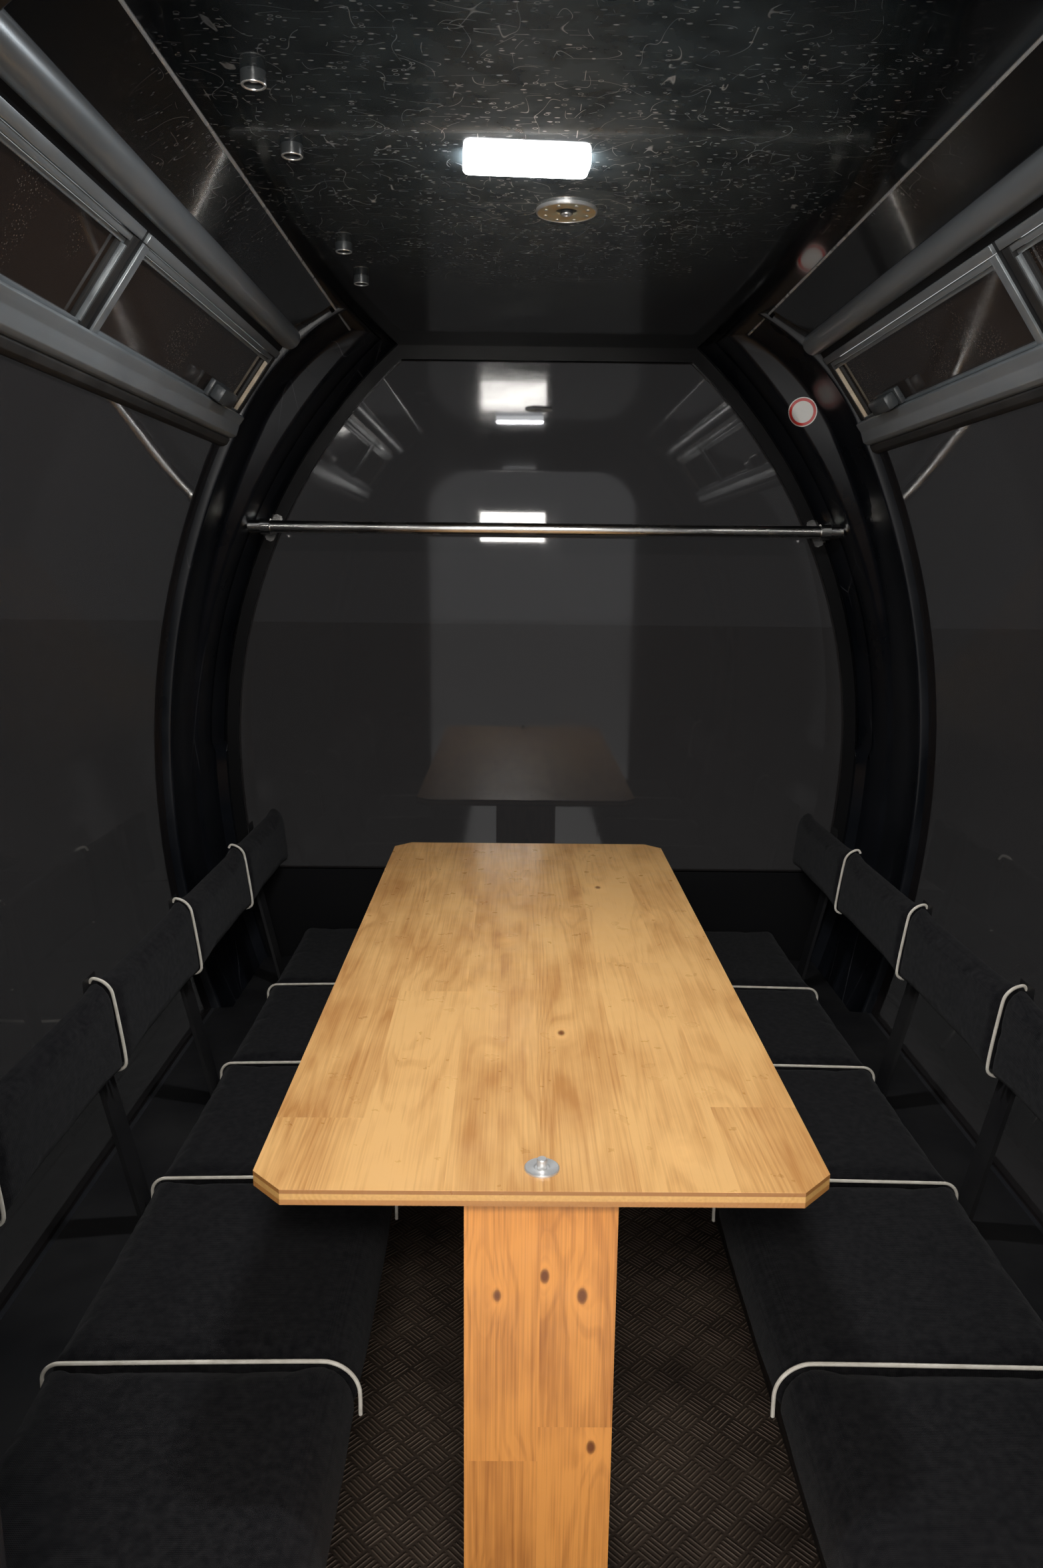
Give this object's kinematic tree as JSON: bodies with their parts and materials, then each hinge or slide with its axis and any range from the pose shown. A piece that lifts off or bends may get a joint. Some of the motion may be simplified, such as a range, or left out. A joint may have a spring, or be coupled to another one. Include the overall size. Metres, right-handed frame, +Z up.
{
  "type": "cable car cabin",
  "caption": "Enclosed cable car cabin: curved glazed body with leaning vents, sliding door leaves, facing benches, a long fitted table, handrail and roof suspension with a pin bore.",
  "frame": {"origin": "centre of the hanger pin bore above the roof", "axes": "+X along the direction of travel, +Y away from the door side and along the hanger pin, +Z up"},
  "size_m": [2.06, 2.41, 2.5589],
  "materials": {
    "black_shell": "high gloss black glass-fibre moulding, fine scratches",
    "outer_shell": "gloss black paint",
    "ceiling": "gloss black panel, scratched and speckled",
    "aluminium": "satin anodised grey",
    "dark_frame": "satin black powder coat",
    "window": "tinted acrylic",
    "vent_pane": "tinted acrylic",
    "tread_plate": "dark five-bar tread plate, worn on the crests",
    "steel": "galvanised steel",
    "stainless": "brushed stainless steel",
    "rubber": "matt black rubber",
    "upholstery": "charcoal fabric with off-white piping",
    "bench": "matt black sheet",
    "wood": "lacquered three-ply spruce",
    "leg_wood": "lacquered glued spruce board",
    "lamp": "white lit diffuser",
    "latch": "satin black moulding"
  },
  "bodies": {
    "cabin": {"floor_pan": "tread_plate", "underframe_beams": "steel", "underframe_crossmembers": "steel", "bumpers": "rubber", "door_sill": "aluminium", "hoop_far_left": "black_shell", "hoop_far_right": "black_shell", "hoop_near_left": "black_shell", "hoop_near_right": "black_shell", "side_panels": "outer_shell", "side_window_left": "window", "side_window_right": "window", "transoms": "aluminium", "vent_frames": "aluminium", "vent_sashes": "aluminium", "vent_glasses": "vent_pane", "vent_handles": "latch", "vent_rails": "aluminium", "ceiling_sides": "ceiling", "ceiling_panels": "ceiling", "ceiling_lamp": "lamp", "ceiling_fixings": "stainless", "roof_shell": "outer_shell", "roof_bars": "steel", "roof_isolators": "rubber", "hanger_beam": "steel", "hanger_head": "steel", "far_frame": "black_shell", "far_window": "window", "handrail": "stainless", "handrail_clamps": "stainless", "door_header": "outer_shell", "door_wall_left": "outer_shell", "door_wall_right": "outer_shell", "door_wall_glasses": "window", "door_track": "aluminium", "bench_base_left": "bench", "bench_base_right": "bench", "seat_cushions_left": "upholstery", "seat_cushions_right": "upholstery", "backrest_left": "upholstery", "backrest_right": "upholstery", "backrest_brackets": "steel", "rear_sills": "bench", "table_top": "wood", "table_legs": "leg_wood", "table_socket": "stainless"},
    "door_left": {"door_leaf_left": "outer_shell", "door_glass_left": "window", "door_carriage_left": "steel"},
    "door_right": {"door_leaf_right": "outer_shell", "door_glass_right": "window", "door_carriage_right": "steel"}
  },
  "joints": [
    {"name": "door_left_slide", "type": "slide", "parent": "cabin", "child": "door_left", "axis": [1, 0, 0], "range_m": [0, 0.4975]},
    {"name": "door_right_slide", "type": "slide", "parent": "cabin", "child": "door_right", "axis": [-1, 0, 0], "range_m": [0, 0.4975]}
  ],
  "couplings": [
    {"joint": "door_right_slide", "follows": "door_left_slide", "ratio": 1}
  ]
}
